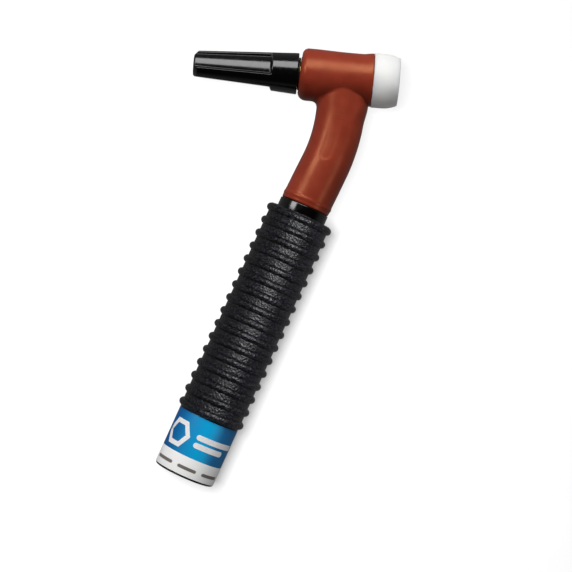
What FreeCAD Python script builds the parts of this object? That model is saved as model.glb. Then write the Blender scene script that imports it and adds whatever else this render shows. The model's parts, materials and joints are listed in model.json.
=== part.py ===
import FreeCAD, Part
import math
import os

# An air-cooled TIG torch: a ribbed handle, a bent neck and a head whose barrel lies
# across the neck, with a long back cap behind it and a cup gasket in front.
# Millimetres. The torch lies on its side: +Y runs up the handle to the head,
# +X is the side that the cup faces, and +Z is up from the surface.
# Every piece is first made about +X, then turned onto the handle or the barrel.

# Handle, measured along its axis from its rear end.
LABEL_START = 1.0
LABEL_END = 28.9
SLEEVE_START = 29.3
SLEEVE_END = 133.5
NOSE_END = 138.0
HANDLE_R = 14.6
LABEL_R = 14.75
HANDLE_RIM = 0.9
CORE_R = 13.0
CORE_BORE_R = 10.9
CABLE_BORE_R = 11.5
CABLE_BORE_DEPTH = 60.0
BORE_LEAD_IN = 0.6

# Ribbed rubber grip over the handle's core.
GROOVE_R = 14.875
RIB_R = 16.4
RIB_COUNT = 16
RIB_PITCH = 6.665
RIB_WIDTH = 3.7
FIRST_RIB = 31.55

# Nose ring, pushed into the front of the handle.
NOSE_R = 11.95
NOSE_BORE_R = 9.2
NOSE_SPIGOT_R = 10.85
NOSE_SPIGOT_LENGTH = 12.0
NOSE_ROUND = 0.8

# Neck. Its axis leaves the barrel square, turns once, and leans a little into the handle.
HEAD_X = -8.18
HEAD_Y = 200.7
BARREL_ANGLE = 19.3
NECK_LEAN = 2.0
NECK_BEND_R = 80.0
LEAN_BEND_R = 150.0
NECK_R = 11.6
NECK_END = 138.2
PLUG_R = 9.15
PLUG_END = 112.0
TUBE_R = 4.75
TUBE_BORE_R = 3.25

# Cable stud, brazed to the rear end of the neck tube.
STUD_SOCKET_R = 7.2
STUD_SOCKET_DEPTH = 12.0
STUD_SHOULDER = 110.0
STUD_HEX_FLATS = 14.0
STUD_HEX_START = 84.0
STUD_HEX_END = 92.0
STUD_THREAD_R = 4.76
STUD_RELIEF_R = 4.2
STUD_RELIEF = 1.5
STUD_END = 70.0
STUD_BORE_R = 3.0
STUD_CHAMFER = 0.7

# Barrel, measured along its axis from the neck's axis towards the cup.
JACKET_REAR = -20.6
JACKET_REAR_ROUND = 3.0
JACKET_REAR_R = 12.25
JACKET_WAIST_START = 0.5
JACKET_WAIST_END = 8.0
JACKET_WAIST_R = 11.85
JACKET_SEAT_R = 12.5
JACKET_SEAT = 13.6
BLOCK_R = 8.0
BLOCK_REAR = -20.5
BLOCK_FRONT = 17.0
CAP_SOCKET_R = 6.45
CAP_SOCKET_END = -10.5
GAS_BORE_R = 4.1
COLLET_THREAD_R = 4.33
COLLET_THREAD_LENGTH = 9.0
TUBE_SOCKET_FLOOR = 5.2

# Cup gasket, pushed over the block's front end.
GASKET_REAR = 13.7
GASKET_FRONT = 25.8
GASKET_R = 12.74
GASKET_PLAIN = 5.0
GASKET_FRONT_R = 11.1
GASKET_FIT_R = 8.06
GASKET_FIT_DEPTH = 3.5
GASKET_BORE_R = 6.0
GASKET_RECESS_R = 8.5
GASKET_RECESS_DEPTH = 3.0

# Back cap: a long cone with three lands raised on its grip and a plain collar.
CAP_MOUTH = -21.6
CAP_TIP = -70.7
CAP_MOUTH_R = 9.75
CAP_TIP_R = 6.67
CAP_COLLAR_LENGTH = 12.0
CAP_TIP_CHAMFER = 1.9
CAP_MOUTH_ROUND = 0.5
CAP_FLUTE_COUNT = 3
CAP_FLUTE_ANGLE = 73.0
CAP_FLUTE_RATIO = 0.81
CAP_FLUTE_TURN = 7.0
CAP_BORE_R = 3.4
CAP_BORE_END = -66.5

# Threaded insert, moulded into the cap's mouth.
INSERT_THREAD_R = 6.38
INSERT_THREAD_END = -11.8
INSERT_NECK_R = 5.9
INSERT_NECK_LENGTH = 1.5
INSERT_SHANK_R = 5.5
INSERT_SHANK_LENGTH = 10.0
INSERT_BORE_R = 3.9
INSERT_CHAMFER = 0.6

# Seal ring between the cap's mouth and the block.
RING_INNER_R = 5.96
RING_OUTER_R = 7.6
RING_REAR = -21.55
RING_FRONT = -20.65

# From the rear end of the handle's axis to the torch's origin, which is at the
# middle of its footprint.
ORIGIN_X = -28.32
ORIGIN_Y = 109.88
ORIGIN_Z = -RIB_R

X_AXIS = FreeCAD.Vector(1, 0, 0)
Z_AXIS = FreeCAD.Vector(0, 0, 1)
CENTRE = FreeCAD.Vector(0, 0, 0)


def along(distance, radius):
    """A point on an outline: a distance along the axis and a radius from it."""
    return FreeCAD.Vector(distance, radius, 0)


def outline(start, *steps):
    """A closed face. Each step is the end of a line, or the middle and end of an arc."""
    edges = []
    here = along(*start)
    for step in steps:
        if isinstance(step[0], tuple):
            there = along(*step[1])
            edges.append(Part.Arc(here, along(*step[0]), there).toShape())
        else:
            there = along(*step)
            edges.append(Part.makeLine(here, there))
        here = there
    edges.append(Part.makeLine(here, along(*start)))
    return Part.Face(Part.Wire(edges))


def turned(start, *steps):
    """A solid of revolution about +X."""
    return outline(start, *steps).revolve(CENTRE, X_AXIS, 360)


def rod(start, end, radius):
    """A solid cylinder along +X."""
    return Part.makeCylinder(radius, end - start, FreeCAD.Vector(start, 0, 0), X_AXIS)


def arc_middle(x, y, end_x, end_y, bulge):
    """The middle of a short arc, bulge to one side of the middle of its chord."""
    length = math.hypot(end_x - x, end_y - y)
    side_x = -(end_y - y) / length
    side_y = (end_x - x) / length
    return ((x + end_x) / 2 + side_x * bulge, (y + end_y) / 2 + side_y * bulge)


def on_handle(shape):
    """Turns a piece made about +X onto the handle's axis, +Y."""
    shape.rotate(CENTRE, Z_AXIS, 90)
    return shape


def on_barrel(shape):
    """Turns a piece made about +X onto the barrel's axis, across the head."""
    shape.rotate(CENTRE, Z_AXIS, BARREL_ANGLE)
    shape.translate(FreeCAD.Vector(HEAD_X, HEAD_Y, 0))
    return shape


def handle_tube():
    """The handle's rigid core, full size under the label and slimmer under the grip."""
    tube = turned(
        (0, CABLE_BORE_R + BORE_LEAD_IN),
        (0, HANDLE_R - HANDLE_RIM),
        ((HANDLE_RIM * 0.293, HANDLE_R - HANDLE_RIM * 0.293), (HANDLE_RIM, HANDLE_R)),
        (SLEEVE_START, HANDLE_R),
        (SLEEVE_START, CORE_R),
        (SLEEVE_END, CORE_R),
        (SLEEVE_END, CORE_BORE_R),
        (CABLE_BORE_DEPTH, CORE_BORE_R),
        (CABLE_BORE_DEPTH, CABLE_BORE_R),
        (BORE_LEAD_IN, CABLE_BORE_R),
    )
    return on_handle(tube)


def handle_label():
    """The printed foil wrapped round the rear of the handle."""
    foil = rod(LABEL_START, LABEL_END, LABEL_R).cut(rod(LABEL_START, LABEL_END, HANDLE_R))
    return on_handle(foil)


def grip_sleeve():
    """The rubber grip: round ribs standing on a plain sleeve."""
    steps = [(SLEEVE_START, GROOVE_R)]
    for number in range(RIB_COUNT):
        crest = FIRST_RIB + number * RIB_PITCH
        steps.append((crest - RIB_WIDTH / 2, GROOVE_R))
        steps.append(((crest, RIB_R), (crest + RIB_WIDTH / 2, GROOVE_R)))
    steps.append((SLEEVE_END, GROOVE_R))
    steps.append((SLEEVE_END, CORE_R))
    return on_handle(turned((SLEEVE_START, CORE_R), *steps))


def handle_nose():
    """The ring that closes the handle's front and slides over the neck's plug."""
    inner_round = NOSE_ROUND * 0.293
    ring = turned(
        (SLEEVE_END - NOSE_SPIGOT_LENGTH, NOSE_BORE_R),
        (SLEEVE_END - NOSE_SPIGOT_LENGTH, NOSE_SPIGOT_R),
        (SLEEVE_END, NOSE_SPIGOT_R),
        (SLEEVE_END, NOSE_R),
        (NOSE_END - NOSE_ROUND, NOSE_R),
        ((NOSE_END - inner_round, NOSE_R - inner_round), (NOSE_END, NOSE_R - NOSE_ROUND)),
        (NOSE_END, NOSE_BORE_R),
    )
    return on_handle(ring)


def heading(angle):
    """A level unit vector, angle degrees from -Y towards +X."""
    turn = math.radians(angle)
    return FreeCAD.Vector(math.sin(turn), -math.cos(turn), 0)


def neck_corners():
    """The neck axis's ends and corners, from the barrel's axis to the stud."""
    head = FreeCAD.Vector(HEAD_X, HEAD_Y, 0)
    entry = FreeCAD.Vector(0, NOSE_END, 0)
    down = heading(BARREL_ANGLE)
    lean = heading(-NECK_LEAN)
    across = FreeCAD.Vector(-lean.y, lean.x, 0)
    reach = (entry - head).dot(across) / down.dot(across)
    bend = head + down * reach
    foot = FreeCAD.Vector(0, STUD_SHOULDER - STUD_SOCKET_DEPTH, 0)
    return head, bend, entry, foot


def rounded_corner(before, corner, after, radius):
    """A tangent arc at a corner: its two ends and its middle."""
    come = (corner - before).normalize()
    leave = (after - corner).normalize()
    half_turn = math.acos(come.dot(leave)) / 2
    setback = radius * math.tan(half_turn)
    inward = (leave - come).normalize()
    rise = radius / math.cos(half_turn) - radius
    return corner - come * setback, corner + inward * rise, corner + leave * setback


def neck_path(skip):
    """The neck's axis as straight runs and arcs, from skip below the barrel's axis."""
    head, bend, entry, foot = neck_corners()
    start = head + heading(BARREL_ANGLE) * skip
    first = rounded_corner(start, bend, entry, NECK_BEND_R)
    second = rounded_corner(bend, entry, foot, LEAN_BEND_R)
    edges = [
        Part.makeLine(start, first[0]),
        Part.Arc(*first).toShape(),
        Part.makeLine(first[2], second[0]),
        Part.Arc(*second).toShape(),
        Part.makeLine(second[2], foot),
    ]
    return Part.Wire(edges)


def along_neck(radius, skip):
    """A solid round bar along the neck's axis."""
    head = neck_corners()[0]
    down = heading(BARREL_ANGLE)
    rim = Part.makeCircle(radius, head + down * skip, down)
    return neck_path(skip).makePipe(Part.Face(Part.Wire([rim])))


def neck_tube():
    """The bent tube that carries gas and current up the neck into the block."""
    return along_neck(TUBE_R, TUBE_SOCKET_FLOOR).cut(along_neck(TUBE_BORE_R, TUBE_SOCKET_FLOOR - 1))


def head_block():
    """The brass head: cap socket, gas bore and collet-body thread, with the tube's socket."""
    block = turned(
        (BLOCK_REAR, CAP_SOCKET_R),
        (BLOCK_REAR, BLOCK_R),
        (BLOCK_FRONT, BLOCK_R),
        (BLOCK_FRONT, COLLET_THREAD_R),
        (BLOCK_FRONT - COLLET_THREAD_LENGTH, COLLET_THREAD_R),
        (BLOCK_FRONT - COLLET_THREAD_LENGTH, GAS_BORE_R),
        (CAP_SOCKET_END, GAS_BORE_R),
        (CAP_SOCKET_END, CAP_SOCKET_R),
    )
    down = FreeCAD.Vector(0, -1, 0)
    socket = Part.makeCylinder(TUBE_R, BLOCK_R, down * TUBE_SOCKET_FLOOR, down)
    passage = Part.makeCylinder(TUBE_BORE_R, BLOCK_R, CENTRE, down)
    return on_barrel(block.cut(socket).cut(passage))


def head_jacket():
    """The moulded rubber jacket over the block, the neck and the plug in the handle."""
    rear_round = JACKET_REAR_ROUND * 0.293
    ease = arc_middle(JACKET_WAIST_END, JACKET_WAIST_R, JACKET_SEAT - 1, JACKET_SEAT_R, -0.1)
    barrel = turned(
        (JACKET_REAR, 0),
        (JACKET_REAR, JACKET_REAR_R - JACKET_REAR_ROUND),
        (
            (JACKET_REAR + rear_round, JACKET_REAR_R - rear_round),
            (JACKET_REAR + JACKET_REAR_ROUND, JACKET_REAR_R),
        ),
        (JACKET_WAIST_START, JACKET_WAIST_R),
        (JACKET_WAIST_END, JACKET_WAIST_R),
        (ease, (JACKET_SEAT - 1, JACKET_SEAT_R)),
        (JACKET_SEAT, JACKET_SEAT_R),
        (JACKET_SEAT, 0),
    )
    neck_side = 2 * NECK_R
    neck = along_neck(NECK_R, 0).cut(
        Part.makeBox(2 * neck_side, NECK_END, 2 * neck_side, FreeCAD.Vector(-neck_side, 0, -neck_side))
    )
    plug = on_handle(rod(PLUG_END, NECK_END + 1, PLUG_R))
    jacket = on_barrel(barrel).fuse(neck).fuse(plug).removeSplitter()
    core = on_barrel(rod(JACKET_REAR - 1, JACKET_SEAT + 1, BLOCK_R))
    return jacket.cut(core).cut(along_neck(TUBE_R, 0))


def cable_stud():
    """The brass fitting at the tube's rear end: socket, hexagon and male thread."""
    stud = turned(
        (STUD_END, 0),
        (STUD_END, STUD_THREAD_R - STUD_CHAMFER),
        (STUD_END + STUD_CHAMFER, STUD_THREAD_R),
        (STUD_HEX_START - STUD_RELIEF, STUD_THREAD_R),
        (STUD_HEX_START - STUD_RELIEF, STUD_RELIEF_R),
        (STUD_HEX_START, STUD_RELIEF_R),
        (STUD_HEX_START, STUD_SOCKET_R),
        (STUD_SHOULDER, STUD_SOCKET_R),
        (STUD_SHOULDER, 0),
    )
    corner_r = STUD_HEX_FLATS / math.sqrt(3)
    corners = []
    for number in range(7):
        turn = math.radians(60 * number)
        corners.append(
            FreeCAD.Vector(STUD_HEX_START, corner_r * math.cos(turn), corner_r * math.sin(turn))
        )
    hexagon = Part.Face(Part.makePolygon(corners)).extrude(X_AXIS * (STUD_HEX_END - STUD_HEX_START))
    rounding = turned(
        (STUD_HEX_START, 0),
        (STUD_HEX_START, STUD_HEX_FLATS / 2),
        (STUD_HEX_START + STUD_CHAMFER, corner_r),
        (STUD_HEX_END - STUD_CHAMFER, corner_r),
        (STUD_HEX_END, STUD_HEX_FLATS / 2),
        (STUD_HEX_END, 0),
    )
    stud = stud.fuse(hexagon.common(rounding)).removeSplitter()
    stud = stud.cut(rod(STUD_SHOULDER - STUD_SOCKET_DEPTH, STUD_SHOULDER + 1, TUBE_R))
    stud = stud.cut(rod(STUD_END - 1, STUD_SHOULDER, STUD_BORE_R))
    return on_handle(stud)


def cup_gasket():
    """The white ring that seats the cup: a plain band, then a curved taper."""
    taper_start = GASKET_REAR + GASKET_PLAIN
    ease = arc_middle(taper_start, GASKET_R, GASKET_FRONT, GASKET_FRONT_R, 0.35)
    gasket = turned(
        (GASKET_REAR, GASKET_FIT_R),
        (GASKET_REAR, GASKET_R),
        (taper_start, GASKET_R),
        (ease, (GASKET_FRONT, GASKET_FRONT_R)),
        (GASKET_FRONT, GASKET_RECESS_R),
        (GASKET_FRONT - GASKET_RECESS_DEPTH, GASKET_RECESS_R),
        (GASKET_FRONT - GASKET_RECESS_DEPTH, GASKET_BORE_R),
        (GASKET_REAR + GASKET_FIT_DEPTH, GASKET_BORE_R),
        (GASKET_REAR + GASKET_FIT_DEPTH, GASKET_FIT_R),
    )
    return on_barrel(gasket)


def cap_radius(distance):
    """The cap's outer radius at a distance along the barrel's axis."""
    part_way = (distance - CAP_TIP) / (CAP_MOUTH - CAP_TIP)
    return CAP_TIP_R + part_way * (CAP_MOUTH_R - CAP_TIP_R)


def cap_flute(first_angle):
    """What one flute takes away: a sector of the cone, down to the flute's floor."""
    start = CAP_TIP - 1
    end = CAP_MOUTH - CAP_COLLAR_LENGTH
    sector = outline(
        (start, CAP_FLUTE_RATIO * cap_radius(start)),
        (start, CAP_MOUTH_R),
        (end, CAP_MOUTH_R + 1),
        (end, CAP_FLUTE_RATIO * cap_radius(end)),
    ).revolve(CENTRE, X_AXIS, CAP_FLUTE_ANGLE)
    sector.rotate(CENTRE, X_AXIS, first_angle)
    return sector


def cap_body():
    """The moulded cap, hollow for the spare length of the electrode."""
    insert_end = CAP_MOUTH - INSERT_SHANK_LENGTH
    body = turned(
        (CAP_TIP, 0),
        (CAP_TIP, CAP_TIP_R - CAP_TIP_CHAMFER),
        (CAP_TIP + CAP_TIP_CHAMFER, cap_radius(CAP_TIP + CAP_TIP_CHAMFER)),
        (CAP_MOUTH - CAP_MOUTH_ROUND, cap_radius(CAP_MOUTH - CAP_MOUTH_ROUND)),
        (CAP_MOUTH, CAP_MOUTH_R - CAP_MOUTH_ROUND),
        (CAP_MOUTH, INSERT_SHANK_R),
        (insert_end, INSERT_SHANK_R),
        (insert_end, CAP_BORE_R),
        (CAP_BORE_END, CAP_BORE_R),
        (CAP_BORE_END, 0),
    )
    spacing = 360 / CAP_FLUTE_COUNT
    first_edge = CAP_FLUTE_TURN + (spacing - CAP_FLUTE_ANGLE) / 2
    for number in range(CAP_FLUTE_COUNT):
        body = body.cut(cap_flute(first_edge + spacing * number))
    return on_barrel(body)


def cap_insert():
    """The brass insert whose male thread screws into the block."""
    insert = turned(
        (CAP_MOUTH - INSERT_SHANK_LENGTH, INSERT_BORE_R),
        (CAP_MOUTH - INSERT_SHANK_LENGTH, INSERT_SHANK_R),
        (CAP_MOUTH, INSERT_SHANK_R),
        (CAP_MOUTH, INSERT_NECK_R),
        (CAP_MOUTH + INSERT_NECK_LENGTH, INSERT_NECK_R),
        (CAP_MOUTH + INSERT_NECK_LENGTH, INSERT_THREAD_R),
        (INSERT_THREAD_END - INSERT_CHAMFER, INSERT_THREAD_R),
        (INSERT_THREAD_END, INSERT_THREAD_R - INSERT_CHAMFER),
        (INSERT_THREAD_END, INSERT_BORE_R),
    )
    return on_barrel(insert)


def cap_o_ring():
    """The rubber ring squeezed between the cap's mouth and the block."""
    middle = (RING_REAR + RING_FRONT) / 2
    half = (RING_FRONT - RING_REAR) / 2
    ring = turned(
        (RING_REAR, RING_INNER_R),
        (RING_REAR, RING_OUTER_R - half),
        ((middle, RING_OUTER_R), (RING_FRONT, RING_OUTER_R - half)),
        (RING_FRONT, RING_INNER_R),
    )
    return on_barrel(ring)


PIECES = {
    "handle_tube": handle_tube,
    "handle_label": handle_label,
    "grip_sleeve": grip_sleeve,
    "handle_nose": handle_nose,
    "neck_tube": neck_tube,
    "head_block": head_block,
    "head_jacket": head_jacket,
    "cable_stud": cable_stud,
    "cup_gasket": cup_gasket,
    "cap_body": cap_body,
    "cap_insert": cap_insert,
    "cap_o_ring": cap_o_ring,
}

os.makedirs("parts", exist_ok=True)
for name, make in PIECES.items():
    piece = make()
    piece.translate(FreeCAD.Vector(-ORIGIN_X, -ORIGIN_Y, -ORIGIN_Z))
    piece.exportStep(f"parts/{name}.step")
    print(name, "valid" if piece.isValid() else "not valid", len(piece.Solids), round(piece.Volume, 1))
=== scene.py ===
import json
import math

import bmesh
import bpy
import numpy as np
from mathutils import Matrix, Vector


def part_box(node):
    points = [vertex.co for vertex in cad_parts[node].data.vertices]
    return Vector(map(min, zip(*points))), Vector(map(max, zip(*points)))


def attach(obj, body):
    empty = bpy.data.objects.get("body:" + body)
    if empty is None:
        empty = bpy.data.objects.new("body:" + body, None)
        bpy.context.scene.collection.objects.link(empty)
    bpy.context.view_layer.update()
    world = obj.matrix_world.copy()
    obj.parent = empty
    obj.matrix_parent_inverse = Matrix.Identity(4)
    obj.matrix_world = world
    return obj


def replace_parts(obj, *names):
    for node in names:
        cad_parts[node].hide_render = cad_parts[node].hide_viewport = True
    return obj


# An air-cooled TIG torch, lying on its side. Lengths are millimetres until they reach Blender.
MM = 0.001

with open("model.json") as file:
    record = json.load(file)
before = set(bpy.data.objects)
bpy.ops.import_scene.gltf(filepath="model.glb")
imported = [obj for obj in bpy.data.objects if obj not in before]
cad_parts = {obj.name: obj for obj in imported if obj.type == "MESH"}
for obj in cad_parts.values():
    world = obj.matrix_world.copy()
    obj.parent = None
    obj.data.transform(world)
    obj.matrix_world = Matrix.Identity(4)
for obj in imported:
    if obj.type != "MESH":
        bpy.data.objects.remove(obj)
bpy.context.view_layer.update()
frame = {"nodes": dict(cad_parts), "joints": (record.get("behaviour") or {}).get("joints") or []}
JOINTS = {joint["name"]: joint for joint in frame["joints"]}
UP = Vector((0, 0, 1))


class Place:
    """A frame on one of the torch's axes: x runs along the axis, z is up."""

    def __init__(self, origin, axis):
        self.origin = Vector(origin)
        self.axis = Vector(axis).normalized()
        self.turn = np.array(Matrix((self.axis, UP.cross(self.axis), UP)).transposed())

    def world(self, points):
        """Points of this frame, in the torch's frame and in metres."""
        return np.asarray(points) @ self.turn.T * MM + np.array(self.origin)

    def local(self, points):
        """Points of the torch's frame, in metres, brought into this frame."""
        return (np.asarray(points) - np.array(self.origin)) @ self.turn / MM

    def span(self, node):
        """Where a CAD node starts and ends along the axis, and its largest radius."""
        mesh = frame["nodes"][node].data
        points = np.empty(3 * len(mesh.vertices))
        mesh.vertices.foreach_get("co", points)
        x, y, z = self.local(points.reshape(-1, 3)).T
        return x.min(), x.max(), np.hypot(y, z).max()


def handle_place():
    """The handle's frame: x runs from its rear end towards the head."""
    low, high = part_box("handle_tube")
    return Place(((low.x + high.x) / 2, low.y, (low.z + high.z) / 2), (0, 1, 0))


HANDLE = handle_place()

# The barrel's frame starts where the cap's joint is, and x runs towards the gasket.
BARREL = Place(JOINTS["cap_turn"]["pos_m"], -Vector(JOINTS["cap_turn"]["axis"]))

LABEL_START, LABEL_END, LABEL_R = HANDLE.span("handle_label")


# Meshes

def rounded(*corners, points_per_round=6):
    """A closed outline. A corner is (x, radius), or (x, radius, rounding)."""
    outline = []
    for number, corner in enumerate(corners):
        here = np.array(corner[:2], float)
        size = corner[2] if len(corner) > 2 else 0
        if not size:
            outline.append(here)
            continue
        before = np.array(corners[number - 1][:2], float) - here
        after = np.array(corners[(number + 1) % len(corners)][:2], float) - here
        before /= np.linalg.norm(before)
        after /= np.linalg.norm(after)
        half_angle = math.acos(np.clip(before @ after, -1, 1)) / 2
        start = here + before * size / math.tan(half_angle)
        end = here + after * size / math.tan(half_angle)
        middle = here + (before + after) / np.linalg.norm(before + after) * size / math.sin(half_angle)
        for step in range(points_per_round + 1):
            share = step / points_per_round
            spoke = (start - middle) * (1 - share) + (end - middle) * share
            outline.append(middle + spoke / np.linalg.norm(spoke) * size)
    return np.array(outline)


def divided(outline, start, end, step):
    """The outline with points every step along its long edges between two distances."""
    finer = []
    for here, there in zip(outline, np.roll(outline, -1, axis=0)):
        finer.append(here)
        inside = start - 1e-6 <= min(here[0], there[0]) and max(here[0], there[0]) <= end + 1e-6
        pieces = int(math.dist(here, there) / step) if inside else 0
        for part in range(1, pieces):
            finer.append(here + (there - here) * part / pieces)
    return np.array(finer)


def mesh_piece(name, points, faces, material, sharp=35):
    """A closed mesh object from points in metres, shaded smooth between its sharp edges."""
    mesh = bpy.data.meshes.new(name)
    mesh.from_pydata(points.tolist(), [], faces)
    work = bmesh.new()
    work.from_mesh(mesh)
    bmesh.ops.remove_doubles(work, verts=work.verts, dist=1e-7)
    bmesh.ops.dissolve_degenerate(work, edges=work.edges, dist=1e-8)
    bmesh.ops.recalc_face_normals(work, faces=work.faces)
    work.to_mesh(mesh)
    work.free()
    mesh.shade_smooth()
    mesh.set_sharp_from_angle(angle=math.radians(sharp))
    mesh.materials.append(material)
    piece = bpy.data.objects.new(name, mesh)
    bpy.context.scene.collection.objects.link(piece)
    return piece


def revolved(name, place, outline, material, steps=160, shape=None, angles=None, sharp=35):
    """A closed outline turned about a place's axis. shape may change the radius."""
    if angles is None:
        angles = np.linspace(0, 2 * math.pi, steps, endpoint=False)
    rows, columns = len(outline), len(angles)
    x = np.repeat(outline[:, :1], columns, axis=1)
    radius = np.repeat(outline[:, 1:], columns, axis=1)
    angle = np.repeat(angles[None, :], rows, axis=0)
    if shape:
        radius = shape(x, radius, angle)
    points = np.stack([x, radius * np.cos(angle), radius * np.sin(angle)], -1).reshape(-1, 3)
    faces = []
    for row in range(rows):
        below = row * columns
        above = (row + 1) % rows * columns
        for column in range(columns):
            beside = (column + 1) % columns
            faces.append((below + column, below + beside, above + beside, above + column))
    return mesh_piece(name, place.world(points), faces, material, sharp)


def smooth_step(low, high, value):
    """From 0 at low to 1 at high, level at both ends."""
    share = np.clip((value - low) / (high - low), 0, 1)
    return share * share * (3 - 2 * share)


def thread_shape(start, end, radius, depth, pitch, inward=True):
    """A radius change that cuts a right-hand thread into a cylinder, fading out at its ends.

    The wave is clipped, so that crests and roots are flat.
    """
    def shape(x, old, angle):
        turn = (x / pitch - angle / (2 * math.pi)) % 1
        groove = np.clip(1.5 * (1 - 2 * np.abs(turn - 0.5)) - 0.25, 0, 1)
        fade = smooth_step(start, start + pitch, x) * smooth_step(-end, -end + pitch, -x)
        on_wall = np.abs(old - radius) < 0.01
        return old - np.where(on_wall, depth * groove * fade, 0) * (1 if inward else -1)
    return shape


# Materials

def material_nodes(name, colour, roughness, **sockets):
    """A Principled material, with its node tree and shader. Colours are linear RGB."""
    material = bpy.data.materials.new(name)
    material.use_nodes = True
    tree = material.node_tree
    shader = tree.nodes["Principled BSDF"]
    shader.inputs["Base Color"].default_value = (*colour, 1)
    shader.inputs["Roughness"].default_value = roughness
    for socket, value in sockets.items():
        shader.inputs[socket.replace("_", " ")].default_value = value
    return material, tree, shader


def noise(tree, scale, detail=4, stretch=(1, 1, 1)):
    """Noise in the torch's own space, about scale of its features to a millimetre.

    Below 1, stretch draws the features out along an axis.
    """
    place = tree.nodes.new("ShaderNodeTexCoord")
    mapping = tree.nodes.new("ShaderNodeMapping")
    mapping.inputs["Scale"].default_value = [s * scale / MM for s in stretch]
    texture = tree.nodes.new("ShaderNodeTexNoise")
    texture.inputs["Scale"].default_value = 1
    texture.inputs["Detail"].default_value = detail
    tree.links.new(place.outputs["Object"], mapping.inputs["Vector"])
    tree.links.new(mapping.outputs["Vector"], texture.inputs["Vector"])
    return texture.outputs["Fac"]


def cells(tree, scale, smoothness):
    """Rounded cells in the torch's own space, about scale of them to a millimetre."""
    place = tree.nodes.new("ShaderNodeTexCoord")
    texture = tree.nodes.new("ShaderNodeTexVoronoi")
    texture.feature = "SMOOTH_F1"
    texture.inputs["Scale"].default_value = scale / MM
    texture.inputs["Smoothness"].default_value = smoothness
    tree.links.new(place.outputs["Object"], texture.inputs["Vector"])
    return texture.outputs["Distance"]


def ramp(tree, value, *stops):
    """A colour ramp over a value. Each stop is a position and a linear RGB colour or grey."""
    node = tree.nodes.new("ShaderNodeValToRGB")
    elements = node.color_ramp.elements
    while len(elements) < len(stops):
        elements.new(0.5)
    for element, (position, colour) in zip(elements, stops):
        element.position = position
        grey = isinstance(colour, (int, float))
        element.color = (colour, colour, colour, 1) if grey else (*colour, 1)
    tree.links.new(value, node.inputs["Fac"])
    return node.outputs["Color"]


def bump(tree, shader, height, depth, strength=1.0, under=None):
    """Bumps the shader's normal by a height, depth millimetres deep, over another bump."""
    node = tree.nodes.new("ShaderNodeBump")
    node.inputs["Distance"].default_value = depth * MM
    node.inputs["Strength"].default_value = strength
    tree.links.new(height, node.inputs["Height"])
    if under is not None:
        tree.links.new(under, node.inputs["Normal"])
    tree.links.new(node.outputs["Normal"], shader.inputs["Normal"])
    return node.outputs["Normal"]


def jacket_rubber():
    """Red-brown moulded silicone: satin, faintly mottled, with a warm gloss."""
    material, tree, shader = material_nodes(
        "jacket_rubber", (0.20, 0.026, 0.013), 0.34, Specular_IOR_Level=0.56
    )
    shader.inputs["Specular Tint"].default_value = (1.0, 0.45, 0.22, 1)
    mottle = noise(tree, 0.12, detail=6)
    colour = ramp(tree, mottle, (0.3, (0.180, 0.022, 0.011)), (0.7, (0.225, 0.030, 0.015)))
    tree.links.new(colour, shader.inputs["Base Color"])
    patches = noise(tree, 0.11, detail=3)
    tree.links.new(ramp(tree, patches, (0.3, 0.29), (0.7, 0.42)), shader.inputs["Roughness"])
    waves = bump(tree, shader, noise(tree, 0.09, detail=2), 0.5, 0.4)
    ripples = bump(tree, shader, noise(tree, 0.4, detail=3), 0.06, 0.5, under=waves)
    bump(tree, shader, noise(tree, 3.0), 0.02, 0.5, under=ripples)
    return material


def grip_rubber():
    """Black rubber with a fine pebble grain and paler specks."""
    material, tree, shader = material_nodes("grip_rubber", (0.007, 0.007, 0.008), 0.35)
    pebbles = cells(tree, 1.2, smoothness=0.15)
    fine = noise(tree, 2.2, detail=5)
    specks = noise(tree, 1.6, detail=2)
    colour = ramp(tree, specks, (0.50, (0.0003, 0.0003, 0.0008)), (0.66, (0.048, 0.048, 0.064)))
    tree.links.new(colour, shader.inputs["Base Color"])
    tree.links.new(ramp(tree, fine, (0.35, 0.38), (0.65, 0.29)), shader.inputs["Roughness"])
    grain = bump(tree, shader, pebbles, 0.22)
    bump(tree, shader, fine, 0.08, under=grain)
    return material


def black_moulding():
    """Glossy black phenolic, faintly uneven."""
    material, tree, shader = material_nodes(
        "black_moulding", (0.0012, 0.0012, 0.0012), 0.16, Specular_IOR_Level=0.56
    )
    tree.links.new(ramp(tree, noise(tree, 0.5), (0.3, 0.12), (0.7, 0.22)), shader.inputs["Roughness"])
    bump(tree, shader, noise(tree, 0.5, detail=3), 0.02, 0.3)
    return material


def handle_plastic():
    """Black nylon, half gloss with a faint moulded texture."""
    material, tree, shader = material_nodes("handle_plastic", (0.006, 0.006, 0.007), 0.32)
    tree.links.new(ramp(tree, noise(tree, 1.5), (0.3, 0.29), (0.7, 0.4)), shader.inputs["Roughness"])
    bump(tree, shader, noise(tree, 2.5), 0.02, 0.4)
    return material


def white_ptfe():
    """White fluoropolymer, smooth and waxy: light goes in and comes out softened."""
    material, tree, shader = material_nodes(
        "white_ptfe", (0.70, 0.70, 0.69), 0.5,
        Subsurface_Weight=1.0, Subsurface_Scale=0.006, Specular_IOR_Level=0.15,
    )
    shader.inputs["Subsurface Radius"].default_value = (1.0, 0.9, 0.8)
    colour = ramp(tree, noise(tree, 0.15), (0.3, (0.68, 0.68, 0.67)), (0.7, (0.72, 0.72, 0.71)))
    tree.links.new(colour, shader.inputs["Base Color"])
    tree.links.new(ramp(tree, noise(tree, 1.0), (0.3, 0.45), (0.7, 0.55)), shader.inputs["Roughness"])
    bump(tree, shader, noise(tree, 2.0), 0.012, 0.4)
    return material


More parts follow.
